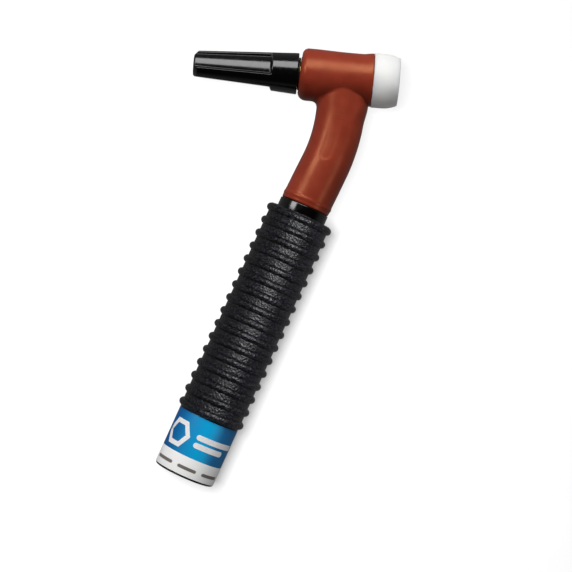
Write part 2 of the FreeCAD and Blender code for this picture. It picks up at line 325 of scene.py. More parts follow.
def foil(name, painted_shade_tones, roughness):
    """Printed foil, faintly brushed. Its three tones across the handle are painted shade: darker towards
    both sides of the handle seen from above, most on its -x side, and lightest just past its top towards
    +x.
    """
    material, tree, shader = material_nodes(name, painted_shade_tones[1], roughness, Specular_IOR_Level=0.25)
    place = tree.nodes.new("ShaderNodeTexCoord")
    mapping = tree.nodes.new("ShaderNodeMapping")
    share_per_metre = 0.5 / (LABEL_R * MM)
    mapping.inputs["Scale"].default_value = [share_per_metre] * 3
    mapping.inputs["Location"].default_value = (0.5 - HANDLE.origin.x * share_per_metre, 0, 0)
    split = tree.nodes.new("ShaderNodeSeparateXYZ")
    tree.links.new(place.outputs["Object"], mapping.inputs["Vector"])
    tree.links.new(mapping.outputs["Vector"], split.inputs["Vector"])
    # Painted shade and highlight: the tone by place across the handle, lightest just past its top, darker
    # towards both sides.
    colour = ramp(
        tree, split.outputs["X"], (0.05, painted_shade_tones[0]), (0.55, painted_shade_tones[1]), (0.66, painted_shade_tones[1]), (0.82, painted_shade_tones[2])
    )
    tree.links.new(colour, shader.inputs["Base Color"])
    brushed = noise(tree, 0.9, detail=3, stretch=(1, 0.04, 1))
    gloss = ramp(tree, brushed, (0.3, roughness - 0.06), (0.7, roughness + 0.06))
    tree.links.new(gloss, shader.inputs["Roughness"])
    bump(tree, shader, brushed, 0.01, 0.3)
    return material


def print_ink(name, colour):
    """Flat printing ink with a slight unevenness."""
    material, tree, shader = material_nodes(name, colour, 0.4)
    paler = [min(1, c * 1.08) for c in colour]
    duller = [c * 0.94 for c in colour]
    tree.links.new(ramp(tree, noise(tree, 1.5), (0.3, duller), (0.7, paler)), shader.inputs["Base Color"])
    return material


def metal(name, dark, light, roughness):
    """Machined or drawn metal with fine marks and slight tarnish."""
    material, tree, shader = material_nodes(name, light, roughness, Metallic=1.0)
    colour = ramp(tree, noise(tree, 0.4, detail=6), (0.35, dark), (0.65, light))
    tree.links.new(colour, shader.inputs["Base Color"])
    gloss = ramp(tree, noise(tree, 1.2), (0.3, roughness - 0.08), (0.7, roughness + 0.1))
    tree.links.new(gloss, shader.inputs["Roughness"])
    bump(tree, shader, noise(tree, 4.0), 0.01, 0.4)
    return material


def seal_rubber():
    """Smooth black nitrile rubber."""
    material, tree, shader = material_nodes("seal_rubber", (0.008, 0.008, 0.008), 0.4)
    tree.links.new(ramp(tree, noise(tree, 2.0), (0.3, 0.34), (0.7, 0.48)), shader.inputs["Roughness"])
    bump(tree, shader, noise(tree, 5.0), 0.01, 0.4)
    return material


def floor_paper():
    """Plain pale paper on a light table, brighter away from the torch where less light falls."""
    material, tree, shader = material_nodes(
        "floor_paper", (0.2, 0.2, 0.2), 0.9, Emission_Strength=1.0, Specular_IOR_Level=0
    )
    place = tree.nodes.new("ShaderNodeTexCoord")
    nearness = tree.nodes.new("ShaderNodeTexGradient")
    nearness.gradient_type = "SPHERICAL"
    tree.links.new(place.outputs["Object"], nearness.inputs["Vector"])
    glow = ramp(tree, nearness.outputs["Fac"], (0.1, 0.97), (0.7, 0.4))
    tree.links.new(glow, shader.inputs["Emission Color"])
    material.cycles.emission_sampling = "NONE"
    tree.links.new(ramp(tree, noise(tree, 0.02), (0.3, 0.195), (0.7, 0.205)), shader.inputs["Base Color"])
    return material


GRIP_RUBBER = grip_rubber()
JACKET_RUBBER = jacket_rubber()
BLACK_MOULDING = black_moulding()
HANDLE_PLASTIC = handle_plastic()
WHITE_PTFE = white_ptfe()
# Both foils carry painted shade across the handle; the silver's three tones barely differ, the blue's
# differ strongly.
BLUE_FOIL = foil("blue_foil", ((0.0, 0.09, 0.30), (0.0, 0.37, 0.72), (0.01, 0.16, 0.40)), 0.45)
SILVER_FOIL = foil("silver_foil", ((0.90, 0.90, 0.89), (0.91, 0.91, 0.90), (0.90, 0.90, 0.89)), 0.42)
WHITE_INK = print_ink("white_ink", (0.86, 0.85, 0.85))
GREY_INK = print_ink("grey_ink", (0.16, 0.14, 0.13))
BRASS = metal("brass", (0.46, 0.30, 0.11), (0.62, 0.43, 0.18), 0.28)
COPPER = metal("copper", (0.50, 0.20, 0.11), (0.74, 0.34, 0.21), 0.34)
SEAL_RUBBER = seal_rubber()


# Handle: its sizes follow the CAD's. x runs along it from its cable end.

CORE_R = 13.0
CORE_BORE_R = 10.9
CABLE_BORE_R = 11.5
CABLE_BORE_DEPTH = 60.0
SLEEVE_START, SLEEVE_END, RIB_R = HANDLE.span("grip_sleeve")
GROOVE_R = 14.875
RIB_COUNT = 16
RIB_WIDTH = 3.7
RIB_PITCH = 6.665
FIRST_RIB = SLEEVE_START + 2.25
RIB_POINTS = 12
FLAT_POINTS = 8
GRAIN_DEPTH = 0.11
NOSE_BORE_R = 9.2
NOSE_SPIGOT_R = CORE_BORE_R - 0.05


def handle_tube():
    """The rigid core, with a rounded rim at the cable end."""
    start, end, radius = HANDLE.span("handle_tube")
    outline = rounded(
        (start, CABLE_BORE_R, 0.5),
        (start, radius, 0.9),
        (SLEEVE_START, radius, 0.15),
        (SLEEVE_START, CORE_R),
        (end, CORE_R, 0.2),
        (end, CORE_BORE_R),
        (CABLE_BORE_DEPTH, CORE_BORE_R),
        (CABLE_BORE_DEPTH, CABLE_BORE_R),
    )
    piece = revolved("handle_core", HANDLE, outline, HANDLE_PLASTIC)
    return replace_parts(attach(piece, "handle"), "handle_tube")


def pebble_grain(x, radius, angle):
    """Roughens the grip's outside, point by point."""
    random = np.random.default_rng(5)
    height = random.random(radius.shape)
    height = (2 * height + np.roll(height, 1, 1) + np.roll(height, 1, 0)) / 4
    return np.where(radius > GROOVE_R - 0.02, radius - GRAIN_DEPTH * height, radius)


def grip():
    """The ribbed rubber sleeve: round ribs, with a crease on each side of every rib."""
    half = RIB_WIDTH / 2
    height = RIB_R - GROOVE_R
    arc_r = (half * half + height * height) / (2 * height)
    half_arc = math.asin(half / arc_r)
    if height >= arc_r:
        half_arc = math.pi - half_arc
    bore = CORE_R + 0.02
    outline = [(SLEEVE_START, bore), (SLEEVE_START, GROOVE_R - 0.3), (SLEEVE_START + 0.25, GROOVE_R)]
    for number in range(RIB_COUNT):
        crest = FIRST_RIB + number * RIB_PITCH
        for step in range(RIB_POINTS + 1):
            turn = half_arc * (2 * step / RIB_POINTS - 1)
            outline.append((crest + arc_r * math.sin(turn), RIB_R - arc_r + arc_r * math.cos(turn)))
        if number < RIB_COUNT - 1:
            gap = RIB_PITCH - RIB_WIDTH
            for share in np.linspace(0.06, 0.94, FLAT_POINTS):
                outline.append((crest + half + gap * share, GROOVE_R))
    outline += [(SLEEVE_END, GROOVE_R - 0.1), (SLEEVE_END, bore)]
    piece = revolved(
        "ribbed_grip", HANDLE, np.array(outline), GRIP_RUBBER, steps=260, shape=pebble_grain, sharp=60
    )
    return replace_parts(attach(piece, "handle"), "grip_sleeve")


def nose_ring():
    """The glossy ring in front of the grip, with the spigot that plugs it into the core."""
    start, end, radius = HANDLE.span("handle_nose")
    outline = rounded(
        (start, NOSE_BORE_R),
        (start, NOSE_SPIGOT_R, 0.4),
        (SLEEVE_END, NOSE_SPIGOT_R),
        (SLEEVE_END, radius, 0.25),
        (end, radius, 0.4),
        (end, NOSE_BORE_R, 0.3),
    )
    piece = revolved("nose_ring", HANDLE, outline, BLACK_MOULDING, steps=192)
    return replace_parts(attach(piece, "handle"), "handle_nose")


# Label. Distances round it start at its top.

HANDLE_R = 14.6
SILVER_END = 9.8
SEAM_ANGLE = math.radians(200)
SEAM_STEP = 0.06
PRINT_LIFT = 0.015
BLUE_PRINT_MIDDLE = (SILVER_END + LABEL_END) / 2 - 1.0
HEXAGON_AROUND = -11.5
HEXAGON_ACROSS = 12.6
HEXAGON_STROKE = 2.2
BAR_WIDTH = 2.6
LONG_BAR = (-1.5, 20.0, BLUE_PRINT_MIDDLE + 1.7)
SHORT_BAR = (-1.5, 14.5, BLUE_PRINT_MIDDLE - 2.2)
DASHES = ((-19.0, -7.5), (-4.5, 5.0), (8.0, 19.0))
DASH_MIDDLE = 4.6
DASH_WIDTH = 1.5


def foil_wrap(name, start, end, material):
    """One band of the label: thin foil, a hair thicker where its ends overlap."""
    def seam(x, radius, angle):
        lift = ((angle - SEAM_ANGLE) % (2 * math.pi)) / (2 * math.pi)
        return np.where(radius > HANDLE_R + 0.05, radius - SEAM_STEP * lift, radius)

    outline = rounded(
        (start, HANDLE_R + 0.01), (start, LABEL_R, 0.03), (end, LABEL_R, 0.03), (end, HANDLE_R + 0.01)
    )
    piece = revolved(name, HANDLE, outline, material, steps=256, shape=seam)
    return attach(piece, "handle")


def printed(name, strokes, material):
    """Printed strokes on the label. A stroke is a list of (millimetres round, low x, high x)."""
    points = []
    faces = []
    for stroke in strokes:
        first = len(points)
        for around, low, high in stroke:
            turn = around / LABEL_R
            for radius in (LABEL_R + PRINT_LIFT, LABEL_R - 2 * SEAM_STEP):
                for x in (low, high):
                    points.append((x, -radius * math.sin(turn), radius * math.cos(turn)))
        last = len(points) - 4
        for here in range(first, last, 4):
            there = here + 4
            faces += [
                (here, there, there + 1, here + 1),
                (here + 2, here + 3, there + 3, there + 2),
                (here, here + 2, there + 2, there),
                (here + 1, there + 1, there + 3, here + 3),
            ]
        faces += [(first, first + 1, first + 3, first + 2), (last, last + 2, last + 3, last + 1)]
    piece = mesh_piece(name, HANDLE.world(np.array(points)), faces, material)
    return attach(piece, "handle")


def rounded_bar(start, end, middle, thickness):
    """A bar round the label with half-round ends."""
    half = thickness / 2
    bends = half - half * np.cos(np.linspace(0.15, math.pi / 2, 6))
    straight = np.linspace(start + half, end - half, 12)[1:-1]
    around = np.concatenate([start + bends, straight, end - bends[::-1]])
    stroke = []
    for here in around:
        past = max(start + half - here, here - end + half, 0)
        reach = math.sqrt(half * half - past * past)
        stroke.append((here, middle - reach, middle + reach))
    return stroke


def hexagon_outline(around, middle, across, thickness):
    """A hexagon's outline with a corner at each side, as an upper and a lower stroke."""
    half = across / 2
    corner = half / math.cos(math.pi / 6)
    inner = half - thickness

    def height(offset, size):
        slope = (size / math.cos(math.pi / 6) - abs(offset)) * math.tan(math.pi / 3)
        return max(0, min(size, slope))

    offsets = np.unique(np.concatenate([np.linspace(-corner, corner, 33), [-corner / 2, corner / 2]]))
    outer_edge = [height(offset, half) for offset in offsets]
    inner_edge = [height(offset, inner) for offset in offsets]
    upper = []
    lower = []
    for offset, outside, inside in zip(offsets, outer_edge, inner_edge):
        outside = max(outside, 0.01)
        upper.append((around + offset, middle + inside, middle + outside))
        lower.append((around + offset, middle - outside, middle - inside))
    return upper, lower


def label():
    """A silver band and a blue band, with a plain hexagon, bars and dashes printed on them."""
    silver = foil_wrap("label_silver", LABEL_START, SILVER_END, SILVER_FOIL)
    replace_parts(silver, "handle_label")
    blue = foil_wrap("label_blue", SILVER_END + 0.01, LABEL_END, BLUE_FOIL)
    hexagon = hexagon_outline(HEXAGON_AROUND, BLUE_PRINT_MIDDLE, HEXAGON_ACROSS, HEXAGON_STROKE)
    emblem = printed("label_hexagon", hexagon, WHITE_INK)
    bars = [rounded_bar(*bar, BAR_WIDTH) for bar in (LONG_BAR, SHORT_BAR)]
    lines = printed("label_lines", bars, WHITE_INK)
    small = [rounded_bar(*dash, DASH_MIDDLE, DASH_WIDTH) for dash in DASHES]
    dashes = printed("label_dashes", small, GREY_INK)
    return silver, blue, emblem, lines, dashes


# Neck and head

NECK_LEAN = math.radians(2.0)
NECK_BEND_R = 80.0
NECK_ENTRY = HANDLE.span("handle_nose")[1]
NECK_END = NECK_ENTRY + 0.2
PLUG_R = 9.15
PLUG_END = HANDLE.span("head_jacket")[0]
NECK_HEAD_R = 11.52
NECK_FOOT_FULLER = 0.22
NECK_BEAD = 0.26
NECK_BEAD_X = 141.0
NECK_FLATTER = 0.12
NECK_WEB = 1.1

JACKET_REAR = -20.6
JACKET_SEAT = 13.6
BARREL_REAR_R = 12.25
BARREL_WAIST = 0.4
BARREL_FLARE = 0.65
REAR_TILT = 0.05
REAR_ROUND = 3.4
REAR_ROUND_CHANGE = 0.06
BLOCK_R = 8.0

# Fillets where the neck meets the barrel: tiny, and larger at mid-height on the cap's side.
JUNCTION_LEAST = 0.12
JUNCTION_MORE = 3.2

# The mould mark on the neck, by its distance from the head and its place across the neck.
RECESS_MIDDLE = 29.5
RECESS_HALF = 8.6
RECESS_ASIDE = -1.9
RECESS_WIDTH = 2.9
RECESS_DEPTH = 0.16
CREASE_MIDDLE = 19.5
CREASE_ASIDE = -0.5
CREASE_DEPTH = 0.035

# The rough shape that the jacket's skin is grown over.
JACKET_VOXEL = 0.36
ROUGH_BARREL_R = 12.4
ROUGH_NECK_R = 11.5
NECK_RODS = 24
NECK_ROD_LENGTH = 5.0


class NeckPath:
    """The neck's axis in the handle's frame: a straight run, one bend, and a leaning run."""

    def __init__(self):
        head = HANDLE.local([BARREL.origin])[0][:2]
        forward = HANDLE.local([BARREL.world([[1, 0, 0]])[0]])[0][:2] - head
        self.head = head
        self.first = np.array([forward[1], -forward[0]])
        self.last = np.array([-math.cos(NECK_LEAN), math.sin(NECK_LEAN)])
        entry = np.array([NECK_ENTRY, 0.0])
        across = np.array([-self.last[1], self.last[0]])
        reach = (entry - head) @ across / (self.first @ across)
        corner = head + self.first * reach
        turn = math.acos(self.first @ self.last)
        setback = NECK_BEND_R * math.tan(turn / 2)
        self.bend_start = reach - setback
        self.bend_end = self.bend_start + NECK_BEND_R * turn
        inward = self.last - self.first
        self.side = np.sign(self.first[0] * inward[1] - self.first[1] * inward[0])
        normal = self.side * np.array([-self.first[1], self.first[0]])
        self.centre = head + self.first * self.bend_start + normal * NECK_BEND_R
        self.arc_out = corner + self.last * setback
        self.spoke = -self.side * np.array([-self.first[1], self.first[0]])

    def at(self, distance):
        """The axis's point at a distance from the head, and the direction of its run.

        The bend counts as part of the leaning run.
        """
        if distance < self.bend_start:
            return self.head + self.first * distance, self.first
        turn = (min(distance, self.bend_end) - self.bend_start) / NECK_BEND_R
        point = self.centre + NECK_BEND_R * (self.spoke * math.cos(turn) + self.first * math.sin(turn))
        if distance > self.bend_end:
            point = point + self.last * (distance - self.bend_end)
        return point, self.last

    def measure(self, x, y):
        """How far along the axis points are, and how far to its side."""
        along_first = (x - self.head[0]) * self.first[0] + (y - self.head[1]) * self.first[1]
        aside_first = (x - self.head[0]) * -self.first[1] + (y - self.head[1]) * self.first[0]
        along_last = (x - self.arc_out[0]) * self.last[0] + (y - self.arc_out[1]) * self.last[1]
        aside_last = (x - self.arc_out[0]) * -self.last[1] + (y - self.arc_out[1]) * self.last[0]
        off_x = x - self.centre[0]
        off_y = y - self.centre[1]
        cosine = off_x * self.spoke[0] + off_y * self.spoke[1]
        sine = off_x * self.first[0] + off_y * self.first[1]
        along_arc = self.bend_start + NECK_BEND_R * np.arctan2(sine, cosine)
        aside_arc = self.side * (NECK_BEND_R - np.hypot(off_x, off_y))
        along = np.where(along_last > 0, self.bend_end + along_last, along_arc)
        aside = np.where(along_last > 0, aside_last, aside_arc)
        early = along_first < self.bend_start
        return np.where(early, along_first, along), np.where(early, aside_first, aside)


NECK = NeckPath()


def rounded_pair(first, second, rounding):
    """The distance to where two regions overlap, with the edge between them rounded."""
    a = first + rounding
    b = second + rounding
    return np.hypot(np.maximum(a, 0), np.maximum(b, 0)) + np.minimum(np.maximum(a, b), 0) - rounding


def merged(first, second, blend):
    """The distance to two regions together, with a fillet where they meet."""
    share = np.clip(blend - np.abs(first - second), 0, None) / blend
    return np.minimum(first, second) - share * share * blend / 4


def barrel_radius(x):
    """The jacket's outline along the barrel: waisted, then flared to the gasket."""
    waisted = BARREL_REAR_R - BARREL_WAIST * smooth_step(-16.0, 1.5, x)
    return waisted + BARREL_FLARE * smooth_step(8.0, 13.4, x)


def neck_radius(x):
    """The jacket's outline down the neck: fuller at its foot, with a soft bead."""
    fuller = NECK_HEAD_R + NECK_FOOT_FULLER * smooth_step(172.0, 148.0, x)
    bead = NECK_BEAD * np.exp(-(((x - NECK_BEAD_X) / 0.9) ** 2))
    return fuller + bead


def recess(along, aside, z):
    """A long shallow mould mark on each broad side of the neck, and fine creases above it.

    It is the depth sunk below the neck's surface. Above means nearer the head.
    """
    past_middle = np.maximum(np.abs(along - RECESS_MIDDLE) - RECESS_HALF, 0)
    reach = np.hypot(past_middle, aside - RECESS_ASIDE) / RECESS_WIDTH
    hollow = RECESS_DEPTH * (1 - smooth_step(0.60, 1.20, reach)) * smooth_step(17.0, 32.0, along)
    creases = CREASE_DEPTH * np.sin(along * 4.6) * smooth_step(4.2, 2.0, np.abs(aside - CREASE_ASIDE))
    creases = creases * smooth_step(2.6, 1.4, np.abs(along - CREASE_MIDDLE))
    return (hollow + creases) * (np.abs(z) > 4)


def jacket_distance(points):
    """The distance from points in the handle's frame to the jacket's surface."""
    x, y, z = points.T
    u, v, w = BARREL.local(HANDLE.world(points)).T
    across = np.hypot(v, w)

    # The barrel, with a rounded rear end that leans a little.
    side = across - barrel_radius(u)
    past_rear = JACKET_REAR + REAR_TILT * v - u
    rear = rounded_pair(side, past_rear, REAR_ROUND - REAR_ROUND_CHANGE * v)
    barrel = np.maximum(rear, rounded_pair(side, u - JACKET_SEAT, 0.3))

    # The neck, with a web on the gasket's side, and flatter near the barrel.
    along, aside = NECK.measure(x, y)
    web = NECK_WEB * smooth_step(21.0, 12.5, along) * smooth_step(4.0, 11.0, aside)
    flatter = 1 + NECK_FLATTER * smooth_step(42.0, 14.0, along)
    tube = np.hypot(aside, z * flatter) - neck_radius(x) - web
    neck = rounded_pair(tube + recess(along, aside, z), NECK_END - x, 0.5)
    neck = np.maximum(neck, -along)

    cap_side = smooth_step(9.5, 3.0, np.abs(z)) * smooth_step(2.0, -4.0, aside)
    jacket = merged(barrel, neck, JUNCTION_LEAST + JUNCTION_MORE * cap_side)

    # The plug in the handle's nose, and the hole that the brass block fills.
    plug = np.hypot(y, z) - PLUG_R
    plug = rounded_pair(plug, PLUG_END - x, 0.8)
    plug = np.maximum(plug, x - NECK_END - 3)
    jacket = np.minimum(jacket, plug)
    core = across - BLOCK_R
    return -merged(-jacket, core, 0.5)


def settle_on(points, distance, rounds=6):
    """Moves points onto the surface where a distance is zero."""
    step = 0.02
    for _ in range(rounds):
        value = distance(points)
        slope = np.empty_like(points)
        for axis in range(3):
            shift = np.zeros(3)
            shift[axis] = step
            slope[:, axis] = (distance(points + shift) - distance(points - shift)) / (2 * step)
        size = np.maximum((slope * slope).sum(1), 0.25)
        points = points - slope * (value / size)[:, None]
    return points


def jacket_rods():
    """Rods that fill the jacket's rough shape: a centre, an axis, a radius and a length."""
    middle = BARREL.world([[(JACKET_REAR + JACKET_SEAT) / 2, 0, 0]])[0]
    rods = [(middle, BARREL.axis, ROUGH_BARREL_R, JACKET_SEAT - JACKET_REAR - 0.5)]
    for distance in np.linspace(0, NECK.head[0] - NECK_END, NECK_RODS):
        point, run = NECK.at(distance)
        middle = HANDLE.world([[*point, 0]])[0]
        rods.append((middle, HANDLE.turn @ [*run, 0], ROUGH_NECK_R, NECK_ROD_LENGTH))
    middle = HANDLE.world([[(PLUG_END + NECK_END) / 2, 0, 0]])[0]
    rods.append((middle, HANDLE.axis, PLUG_R, NECK_END - PLUG_END + 6))
    return rods


def jacket():
    """The silicone jacket, as one skin over barrel, neck and plug.

    A coarse skin is grown over rods, and then settled on the exact surface.
    """
    lump = bpy.data.meshes.new("jacket")
    work = bmesh.new()
    for centre, axis, radius, length in jacket_rods():
        turn = Vector(axis).to_track_quat("Z", "Y").to_matrix().to_4x4()
        bmesh.ops.create_cone(
            work, cap_ends=True, segments=48, radius1=radius * MM, radius2=radius * MM,
            depth=length * MM, matrix=Matrix.Translation(Vector(centre)) @ turn,
        )
    work.to_mesh(lump)
    work.free()
    raw = bpy.data.objects.new("jacket_raw", lump)
    bpy.context.scene.collection.objects.link(raw)
    remesh = raw.modifiers.new("skin", "REMESH")
    remesh.mode = "VOXEL"
    remesh.voxel_size = JACKET_VOXEL * MM
    graph = bpy.context.evaluated_depsgraph_get()
    skin = bpy.data.meshes.new_from_object(raw.evaluated_get(graph))
    bpy.data.objects.remove(raw)
    points = np.empty(3 * len(skin.vertices))
    skin.vertices.foreach_get("co", points)
    points = settle_on(HANDLE.local(points.reshape(-1, 3)), jacket_distance)
    faces = [tuple(face.vertices) for face in skin.polygons]
    piece = mesh_piece("silicone_jacket", HANDLE.world(points), faces, JACKET_RUBBER, sharp=50)
    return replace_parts(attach(piece, "torch_body"), "head_jacket")


# Block, gasket and stud

THREAD_PITCH = 0.907
THREAD_DEPTH = 0.45
BLOCK_SLACK = 0.05
CAP_SOCKET_R = 6.45
CAP_SOCKET_END = -10.5
GAS_BORE_R = 4.1
COLLET_THREAD_R = 4.33
COLLET_THREAD_START = 8.0
COLLET_PITCH = 0.794
COLLET_THREAD_DEPTH = 0.4

GASKET_PLAIN_LENGTH = 5.0
GASKET_FRONT_R = 11.1
GASKET_TAPER_POINTS = 12
GASKET_TAPER_CURVE = 1.9
GASKET_FIT_R = 8.06
GASKET_FIT_DEPTH = 3.5
GASKET_BORE_R = 6.0
GASKET_RECESS_R = 8.5
GASKET_RECESS_DEPTH = 3.0

STUD_STEM_LENGTH = 14.0
STUD_THREAD_R = 4.76
STUD_PITCH = 1.058
STUD_RELIEF_LENGTH = 1.5
STUD_RELIEF_R = 4.2
STUD_BORE_R = 3.0
HEX_LENGTH = 8.0
HEX_HALF_FLATS = 7.0
HEX_CORNER_R = 8.08
TUBE_SOCKET_R = 7.2
TUBE_SEAT_R = 4.76
TUBE_SEAT_DEPTH = 12.0


def block():
    """The brass head block, threaded inside at both ends."""
    start, end, radius = BARREL.span("head_block")
    outside = radius - BLOCK_SLACK
    outline = rounded(
        (start, CAP_SOCKET_R, 0.3),
        (start, outside, 0.2),
        (end, outside, 0.4),
        (end, COLLET_THREAD_R, 0.4),
        (COLLET_THREAD_START, COLLET_THREAD_R),
        (COLLET_THREAD_START, GAS_BORE_R),
        (CAP_SOCKET_END, GAS_BORE_R),
        (CAP_SOCKET_END, CAP_SOCKET_R),
    )
    outline = divided(outline, start, end, COLLET_PITCH / 10)
    rear = thread_shape(
        start + 0.4, CAP_SOCKET_END, CAP_SOCKET_R, THREAD_DEPTH, THREAD_PITCH, inward=False
    )
    front = thread_shape(
        COLLET_THREAD_START, end - 0.4, COLLET_THREAD_R, COLLET_THREAD_DEPTH, COLLET_PITCH, inward=False
    )
    piece = revolved(
        "brass_block", BARREL, outline, BRASS, steps=96, sharp=60,
        shape=lambda x, radius, angle: front(x, rear(x, radius, angle), angle),
    )
    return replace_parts(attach(piece, "torch_body"), "head_block")


def gasket():
    """The white ring at the barrel's front, with the cup's recess in its face."""
    start, end, radius = BARREL.span("cup_gasket")
    plain = start + GASKET_PLAIN_LENGTH
    taper = []
    for step in range(1, GASKET_TAPER_POINTS):
        share = step / GASKET_TAPER_POINTS
        fall = (radius - GASKET_FRONT_R) * share ** GASKET_TAPER_CURVE
        taper.append((plain + (end - plain) * share, radius - fall))
    outline = rounded(
        (start, GASKET_FIT_R, 0.3),
        (start, radius, 0.25),
        (plain, radius),
        *taper,
        (end, GASKET_FRONT_R, 0.12),
        (end, GASKET_RECESS_R, 0.3),
        (end - GASKET_RECESS_DEPTH, GASKET_RECESS_R),
        (end - GASKET_RECESS_DEPTH, GASKET_BORE_R, 0.3),
        (start + GASKET_FIT_DEPTH, GASKET_BORE_R),
        (start + GASKET_FIT_DEPTH, GASKET_FIT_R),
    )
    piece = revolved("ptfe_gasket", BARREL, outline, WHITE_PTFE, steps=192, sharp=40)
    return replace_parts(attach(piece, "gasket"), "cup_gasket")


def stud():
    """The brass cable fitting: hexagon, threaded stem and the tube's socket."""
    start, end, _ = HANDLE.span("cable_stud")
    chamfer = 0.7
    hex_start = start + STUD_STEM_LENGTH
    hex_end = hex_start + HEX_LENGTH
    thread_end = hex_start - STUD_RELIEF_LENGTH
    outline = rounded(
        (start, STUD_BORE_R),
        (start, STUD_THREAD_R - chamfer),
        (start + chamfer, STUD_THREAD_R),
        (thread_end, STUD_THREAD_R),
        (thread_end, STUD_RELIEF_R),
        (hex_start, STUD_RELIEF_R),
        (hex_start, HEX_HALF_FLATS),
        (hex_start + chamfer, HEX_CORNER_R),
        (hex_end - chamfer, HEX_CORNER_R),
        (hex_end, HEX_HALF_FLATS),
        (hex_end, TUBE_SOCKET_R),
        (end, TUBE_SOCKET_R, 0.5),
        (end, TUBE_SEAT_R),
        (end - TUBE_SEAT_DEPTH, TUBE_SEAT_R),
        (end - TUBE_SEAT_DEPTH, STUD_BORE_R),
    )
    outline = divided(outline, start + 0.6, thread_end + 0.1, THREAD_PITCH / 10)
    thread = thread_shape(start + chamfer, thread_end, STUD_THREAD_R, THREAD_DEPTH, STUD_PITCH)

    def shape(x, radius, angle):
        flats = HEX_HALF_FLATS / np.cos((angle + math.pi / 6) % (math.pi / 3) - math.pi / 6)
        on_hex = (x > hex_start + 0.1) & (x < hex_end - 0.1) & (radius > TUBE_SOCKET_R)
        return np.where(on_hex, np.minimum(radius, flats), thread(x, radius, angle))

    piece = revolved("brass_stud", HANDLE, outline, BRASS, steps=144, shape=shape, sharp=30)
    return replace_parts(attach(piece, "torch_body"), "cable_stud")


# Back cap. A flute's floor and its arc are shares of the cap's radius.

CAP_TIP, CAP_MOUTH, CAP_MOUTH_R = BARREL.span("cap_body")
CAP_TIP_R = 6.67
CAP_COLLAR = 12.0
CAP_CHAMFER = 1.9
CAP_BORE_R = 3.4
CAP_BORE_END = CAP_TIP + 4.2
CAP_LANDS = 3
CAP_LAND_HALF = math.radians(23.5)
CAP_FLOOR = 0.81
CAP_FLOOR_ARC = 1.166
CAP_TURN = math.radians(7)
CAP_EDGE = 0.45
CAP_SCOOP = 1.1
SHANK_R = 5.5
SHANK_LENGTH = 10.0
INSERT_BORE_R = 3.9
INSERT_NECK_R = 5.9
INSERT_NECK_LENGTH = 1.5
SEAL_BORE_R = 5.96


def cap_radius(x):
    """The cap's cone."""
    return CAP_TIP_R + (x - CAP_TIP) / (CAP_MOUTH - CAP_TIP) * (CAP_MOUTH_R - CAP_TIP_R)


def cap_shape(x, radius, angle):
    """Sinks the flutes between the lands, with rounded edges and a scooped end.

    A flute's floor is a flatter arc than the cap, struck from beyond the cap's axis.
    """
    spacing = 2 * math.pi / CAP_LANDS
    off_land = np.abs((angle - CAP_TURN + spacing / 2) % spacing - spacing / 2)
    off_middle = spacing / 2 - off_land
    struck_from = CAP_FLOOR_ARC - CAP_FLOOR
    reach = np.sqrt(CAP_FLOOR_ARC ** 2 - (struck_from * np.sin(off_middle)) ** 2)
    floor = reach - struck_from * np.cos(off_middle)
    sunk = smooth_step(-CAP_EDGE, CAP_EDGE, (off_land - CAP_LAND_HALF) * cap_radius(x))
    scoop = smooth_step(0.0, CAP_SCOOP, CAP_MOUTH - CAP_COLLAR - x)
    height = cap_radius(x) * (1 - (1 - floor) * sunk * scoop)
    return np.where(radius > CAP_FLOOR * cap_radius(x), np.minimum(radius, height), radius)


def cap():
    """The long black back cap, hollow for the electrode's spare length."""
    insert_end = CAP_MOUTH - SHANK_LENGTH
    seat_r = SHANK_R + 0.02
    outline = rounded(
        (CAP_TIP, 0),
        (CAP_TIP, CAP_TIP_R - CAP_CHAMFER, 0.3),
        (CAP_TIP + CAP_CHAMFER, cap_radius(CAP_TIP + CAP_CHAMFER), 0.5),
        (CAP_MOUTH, CAP_MOUTH_R, 0.5),
        (CAP_MOUTH, seat_r),
        (insert_end, seat_r),
        (insert_end, CAP_BORE_R),
        (CAP_BORE_END, CAP_BORE_R),
        (CAP_BORE_END, 0),
    )
    outline = divided(outline, CAP_TIP, CAP_MOUTH, 0.3)
    closer = np.radians(np.arange(-3, 3.1, 0.5))
    angles = [np.linspace(0, 2 * math.pi, 180, endpoint=False)]
    for land in range(CAP_LANDS):
        for side in (-1, 1):
            edge = CAP_TURN + 2 * math.pi / CAP_LANDS * land + side * CAP_LAND_HALF
            angles.append((edge + closer) % (2 * math.pi))
    angles = np.unique(np.round(np.concatenate(angles), 5))
    piece = revolved("back_cap", BARREL, outline, BLACK_MOULDING, shape=cap_shape, angles=angles, sharp=50)
    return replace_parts(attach(piece, "back_cap"), "cap_body")


def insert():
    """The cap's brass insert with its male thread."""
    start, end, radius = BARREL.span("cap_insert")
    thread_start = CAP_MOUTH + INSERT_NECK_LENGTH
    outline = rounded(
        (start, INSERT_BORE_R),
        (start, SHANK_R),
        (CAP_MOUTH, SHANK_R),
        (CAP_MOUTH, INSERT_NECK_R),
        (thread_start, INSERT_NECK_R),
        (thread_start, radius),
        (end - 0.6, radius),
        (end, radius - 0.6),
        (end, INSERT_BORE_R, 0.3),
    )
    outline = divided(outline, thread_start - 0.01, end, THREAD_PITCH / 12)
    thread = thread_shape(thread_start, end - 0.5, radius, THREAD_DEPTH, THREAD_PITCH)
    piece = revolved("threaded_insert", BARREL, outline, BRASS, steps=120, shape=thread, sharp=60)
    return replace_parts(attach(piece, "back_cap"), "cap_insert")


